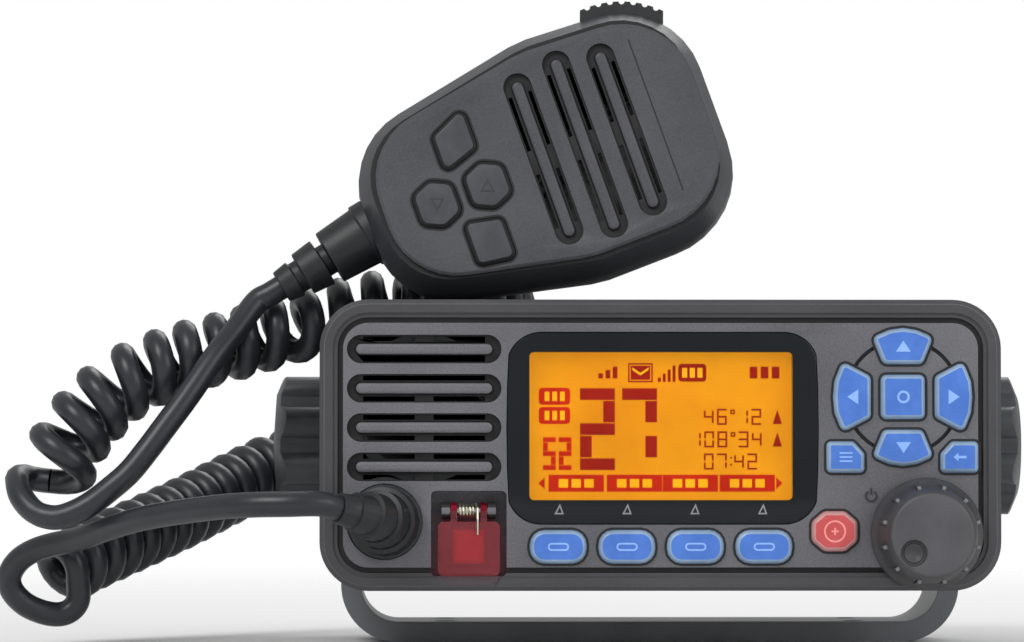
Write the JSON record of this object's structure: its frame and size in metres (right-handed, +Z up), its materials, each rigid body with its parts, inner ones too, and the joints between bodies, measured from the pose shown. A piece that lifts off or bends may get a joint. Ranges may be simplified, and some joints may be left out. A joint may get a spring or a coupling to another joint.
{
  "type": "vhf marine radio",
  "caption": "Fixed-mount marine radio in a tilting U bracket, with lit display, push keys, volume knob, guarded distress key and a fist microphone on a curly cord.",
  "frame": {"origin": "middle of the underside of the bracket's base, on the centre of its four screw holes", "axes": "+X to the right seen from the front, -Y out of the front, +Z up"},
  "size_m": [0.2503, 0.1643, 0.1545],
  "materials": {
    "bracket": "satin powder coat",
    "pivot_washers": "matt",
    "clamp_knob": "satin",
    "clamp_stud": "turned",
    "clamp_washer": "turned",
    "front_case": "fine grain",
    "display_lens": "polished",
    "lcd_frame": "moulded",
    "lcd_panel": "lit amber",
    "boards": "solder mask",
    "volume_knob": "soft touch",
    "encoder_metal": "plated",
    "encoder_plunger": "moulded",
    "distress_cover": "translucent red",
    "pin": "drawn wire",
    "distress_button": "satin",
    "mic_socket": "moulded",
    "speaker_frame": "pressed",
    "speaker_cone": "moulded",
    "rear_chassis": "black powder coat",
    "case_seal": "matt",
    "case_screws": "turned",
    "power_module": "plated",
    "antenna_socket": "nickel plated",
    "lead_glands": "matt",
    "keys_blue": "backlit blue",
    "key_call": "backlit red",
    "mic_case": "fine grain",
    "mic_keys": "satin",
    "ptt_button": "ribbed",
    "mic_capsule": "plain",
    "mic_hanger": "turned",
    "cord": "satin"
  },
  "bodies": {
    "bracket": {"bracket": "bracket"},
    "radio": {"rear_chassis": "rear_chassis", "front_case": "front_case", "display_lens": "display_lens", "lcd_frame": "lcd_frame", "lcd_panel": "lcd_panel", "key_board": "boards", "encoder_body": "encoder_metal", "cover_hinge_pin": "pin", "mic_socket": "mic_socket", "speaker_frame": "speaker_frame", "speaker_cone": "speaker_cone", "case_seal": "case_seal", "case_screws": "case_screws", "main_board": "boards", "power_module": "power_module", "antenna_socket": "antenna_socket", "lead_glands": "lead_glands", "pivot_washers": "pivot_washers", "mic_plug": "cord", "cord_jack_lead": "cord", "curly_cord": "cord", "cord_mic_lead": "cord"},
    "clamp_travel_left": {"clamp_washer_left": "clamp_washer"},
    "clamp_left": {"clamp_knob_left": "clamp_knob", "clamp_stud_left": "clamp_stud"},
    "clamp_travel_right": {"clamp_washer_right": "clamp_washer"},
    "clamp_right": {"clamp_knob_right": "clamp_knob", "clamp_stud_right": "clamp_stud"},
    "volume_plunger": {"encoder_plunger": "encoder_plunger"},
    "volume_knob": {"volume_knob": "volume_knob", "encoder_shaft": "encoder_metal"},
    "distress_cover": {"distress_cover": "distress_cover", "cover_spring": "pin"},
    "distress_button": {"distress_button": "distress_button"},
    "microphone": {"mic_front_case": "mic_case", "mic_rear_case": "mic_case", "mic_board": "boards", "mic_capsule": "mic_capsule", "mic_hanger": "mic_hanger", "mic_strain_relief": "cord"},
    "ptt_button": {"ptt_button": "ptt_button"},
    "key_up": {"key_up": "keys_blue"},
    "key_down": {"key_down": "keys_blue"},
    "key_left": {"key_left": "keys_blue"},
    "key_right": {"key_right": "keys_blue"},
    "key_select": {"key_select": "keys_blue"},
    "key_menu": {"key_menu": "keys_blue"},
    "key_back": {"key_back": "keys_blue"},
    "key_call": {"key_call": "key_call"},
    "soft_key_1": {"soft_key_1": "keys_blue"},
    "soft_key_2": {"soft_key_2": "keys_blue"},
    "soft_key_3": {"soft_key_3": "keys_blue"},
    "soft_key_4": {"soft_key_4": "keys_blue"},
    "mic_key_high": {"mic_key_high": "mic_keys"},
    "mic_key_low": {"mic_key_low": "mic_keys"},
    "mic_key_up": {"mic_key_up": "mic_keys"},
    "mic_key_down": {"mic_key_down": "mic_keys"}
  },
  "joints": [
    {"name": "tilt", "type": "hinge", "parent": "bracket", "child": "radio", "pos_m": [0, 0, 0.048], "axis": [1, 0, 0], "range_deg": [-20, 20]},
    {"name": "clamp_travel_left", "type": "slide", "parent": "radio", "child": "clamp_travel_left", "axis": [-1, 0, 0], "range_m": [0, 0.002]},
    {"name": "clamp_turn_left", "type": "hinge", "parent": "clamp_travel_left", "child": "clamp_left", "pos_m": [-0.08, 0, 0.048], "axis": [-1, 0, 0], "range_deg": [0, 720.5]},
    {"name": "clamp_travel_right", "type": "slide", "parent": "radio", "child": "clamp_travel_right", "axis": [1, 0, 0], "range_m": [0, 0.002]},
    {"name": "clamp_turn_right", "type": "hinge", "parent": "clamp_travel_right", "child": "clamp_right", "pos_m": [0.08, 0, 0.048], "axis": [1, 0, 0], "range_deg": [0, 720.5]},
    {"name": "volume_push", "type": "slide", "parent": "radio", "child": "volume_plunger", "axis": [0, 1, 0], "range_m": [0, 0.0008], "stiffness_N_per_m": 400, "springref_m": -0.001},
    {"name": "volume_turn", "type": "hinge", "parent": "volume_plunger", "child": "volume_knob", "pos_m": [0.0622, -0.07, 0.02715], "axis": [0, -1, 0], "continuous": true},
    {"name": "key_up_press", "type": "slide", "parent": "radio", "child": "key_up", "axis": [0, 1, 0], "range_m": [0, 0.0008], "stiffness_N_per_m": 300, "springref_m": -0.0005},
    {"name": "key_down_press", "type": "slide", "parent": "radio", "child": "key_down", "axis": [0, 1, 0], "range_m": [0, 0.0008], "stiffness_N_per_m": 300, "springref_m": -0.0005},
    {"name": "key_left_press", "type": "slide", "parent": "radio", "child": "key_left", "axis": [0, 1, 0], "range_m": [0, 0.0008], "stiffness_N_per_m": 300, "springref_m": -0.0005},
    {"name": "key_right_press", "type": "slide", "parent": "radio", "child": "key_right", "axis": [0, 1, 0], "range_m": [0, 0.0008], "stiffness_N_per_m": 300, "springref_m": -0.0005},
    {"name": "key_select_press", "type": "slide", "parent": "radio", "child": "key_select", "axis": [0, 1, 0], "range_m": [0, 0.0008], "stiffness_N_per_m": 300, "springref_m": -0.0005},
    {"name": "key_menu_press", "type": "slide", "parent": "radio", "child": "key_menu", "axis": [0, 1, 0], "range_m": [0, 0.0008], "stiffness_N_per_m": 300, "springref_m": -0.0005},
    {"name": "key_back_press", "type": "slide", "parent": "radio", "child": "key_back", "axis": [0, 1, 0], "range_m": [0, 0.0008], "stiffness_N_per_m": 300, "springref_m": -0.0005},
    {"name": "key_call_press", "type": "slide", "parent": "radio", "child": "key_call", "axis": [0, 1, 0], "range_m": [0, 0.0008], "stiffness_N_per_m": 300, "springref_m": -0.0005},
    {"name": "soft_key_1_press", "type": "slide", "parent": "radio", "child": "soft_key_1", "axis": [0, 1, 0], "range_m": [0, 0.0008], "stiffness_N_per_m": 300, "springref_m": -0.0005},
    {"name": "soft_key_2_press", "type": "slide", "parent": "radio", "child": "soft_key_2", "axis": [0, 1, 0], "range_m": [0, 0.0008], "stiffness_N_per_m": 300, "springref_m": -0.0005},
    {"name": "soft_key_3_press", "type": "slide", "parent": "radio", "child": "soft_key_3", "axis": [0, 1, 0], "range_m": [0, 0.0008], "stiffness_N_per_m": 300, "springref_m": -0.0005},
    {"name": "soft_key_4_press", "type": "slide", "parent": "radio", "child": "soft_key_4", "axis": [0, 1, 0], "range_m": [0, 0.0008], "stiffness_N_per_m": 300, "springref_m": -0.0005},
    {"name": "distress_press", "type": "slide", "parent": "radio", "child": "distress_button", "axis": [0, 1, 0], "range_m": [0, 0.001], "stiffness_N_per_m": 300, "springref_m": -0.0005},
    {"name": "distress_cover_lift", "type": "hinge", "parent": "radio", "child": "distress_cover", "pos_m": [-0.04505, -0.0678, 0.0326], "axis": [-1, 0, 0], "range_deg": [0, 100], "stiffness_Nm_per_rad": 0.002, "springref_deg": -34.38},
    {"name": "mic_lift", "type": "slide", "parent": "radio", "child": "microphone", "axis": [0, 0, 1], "range_m": [0, 0.04]},
    {"name": "ptt_press", "type": "slide", "parent": "microphone", "child": "ptt_button", "axis": [-0.0111, -0.1145, -0.9934], "range_m": [0, 0.0015], "stiffness_N_per_m": 400, "springref_m": -0.0008},
    {"name": "mic_key_high_press", "type": "slide", "parent": "microphone", "child": "mic_key_high", "axis": [0.0407, 0.9925, -0.1149], "range_m": [0, 0.0008], "stiffness_N_per_m": 300, "springref_m": -0.0005},
    {"name": "mic_key_low_press", "type": "slide", "parent": "microphone", "child": "mic_key_low", "axis": [0.0407, 0.9925, -0.1149], "range_m": [0, 0.0008], "stiffness_N_per_m": 300, "springref_m": -0.0005},
    {"name": "mic_key_up_press", "type": "slide", "parent": "microphone", "child": "mic_key_up", "axis": [0.0407, 0.9925, -0.1149], "range_m": [0, 0.0008], "stiffness_N_per_m": 300, "springref_m": -0.0005},
    {"name": "mic_key_down_press", "type": "slide", "parent": "microphone", "child": "mic_key_down", "axis": [0.0407, 0.9925, -0.1149], "range_m": [0, 0.0008], "stiffness_N_per_m": 300, "springref_m": -0.0005}
  ],
  "couplings": [
    {"joint": "clamp_turn_left", "follows": "clamp_travel_left", "rad_per_m": 6283.2},
    {"joint": "clamp_turn_right", "follows": "clamp_travel_right", "rad_per_m": 6283.2}
  ]
}
